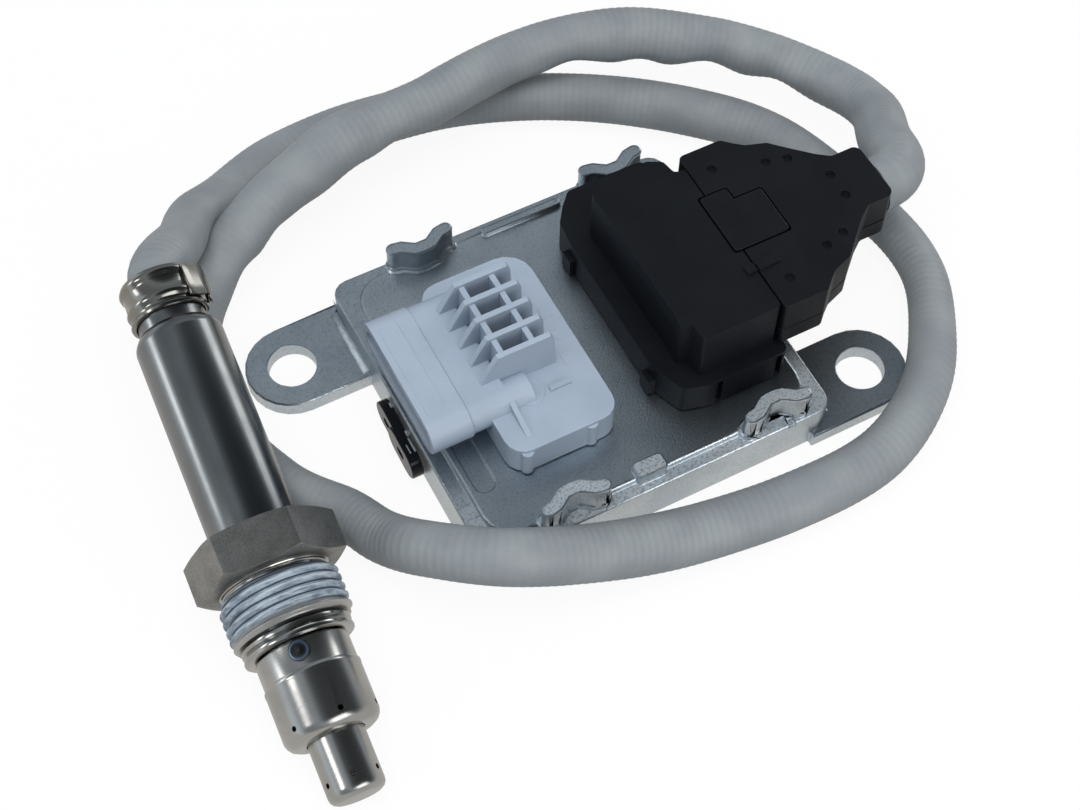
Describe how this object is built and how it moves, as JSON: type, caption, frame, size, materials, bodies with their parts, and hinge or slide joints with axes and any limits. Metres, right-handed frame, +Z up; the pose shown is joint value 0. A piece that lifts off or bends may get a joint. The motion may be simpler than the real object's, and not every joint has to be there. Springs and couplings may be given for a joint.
{
  "type": "nitrogen oxide sensor",
  "caption": "Exhaust gas sensor: die-cast control unit with bolt lugs and two connectors, and a screw-in steel probe on a sleeved cable",
  "frame": {"origin": "centre of the control unit's flat underside", "axes": "+X from the open connector towards the plugged one, +Y towards the edge with the upper lug, +Z up out of the lid"},
  "size_m": [0.1536, 0.1239, 0.0306],
  "materials": {
    "cast_aluminium": "as cast, satin",
    "plate": "rolled sheet",
    "gasket": "matt",
    "board": "lacquered",
    "chips": "matt",
    "grey_plastic": "moulded, satin",
    "black_plastic": "moulded, satin",
    "clip": "gloss",
    "sleeve": "finely ringed glass-fibre sleeve",
    "bright_steel": "turned, bright",
    "dark_steel": "drawn, dull",
    "nut": "forged, matt",
    "ceramic": "unglazed ceramic",
    "pins": "tinned"
  },
  "bodies": {
    "unit": {"housing": "cast_aluminium", "base_plate": "plate", "base_gasket": "gasket", "circuit_board": "board", "microcontroller": "chips", "driver_chip": "chips", "vehicle_header": "grey_plastic", "probe_header": "black_plastic", "plug_insert": "black_plastic", "plug_shell_lower": "black_plastic", "plug_shell_upper": "black_plastic", "plug_latch": "black_plastic", "wall_clip": "clip", "sleeve": "sleeve", "metal_shell": "bright_steel", "rear_tube": "dark_steel", "cable_clamp": "dark_steel", "cable_grommet": "gasket", "ceramic_bush": "ceramic", "sensing_element": "ceramic", "outer_shield": "bright_steel", "inner_shield": "bright_steel", "vehicle_pin_1": "pins", "vehicle_pin_2": "pins", "vehicle_pin_3": "pins", "vehicle_pin_4": "pins", "vehicle_pin_5": "pins", "probe_pin_1": "pins", "probe_pin_2": "pins", "probe_pin_3": "pins", "probe_pin_4": "pins", "probe_pin_5": "pins", "probe_pin_6": "pins", "probe_pin_7": "pins", "probe_pin_8": "pins", "board_screw_1": "bright_steel", "board_screw_2": "bright_steel", "board_screw_3": "bright_steel", "board_screw_4": "bright_steel"},
    "nut": {"union_nut": "nut"}
  },
  "joints": [
    {"name": "nut_turn", "type": "hinge", "parent": "unit", "child": "nut", "pos_m": [-0.0643, -0.0144, 0.0131], "axis": [-0.0668, -0.9794, -0.1908], "continuous": true}
  ]
}
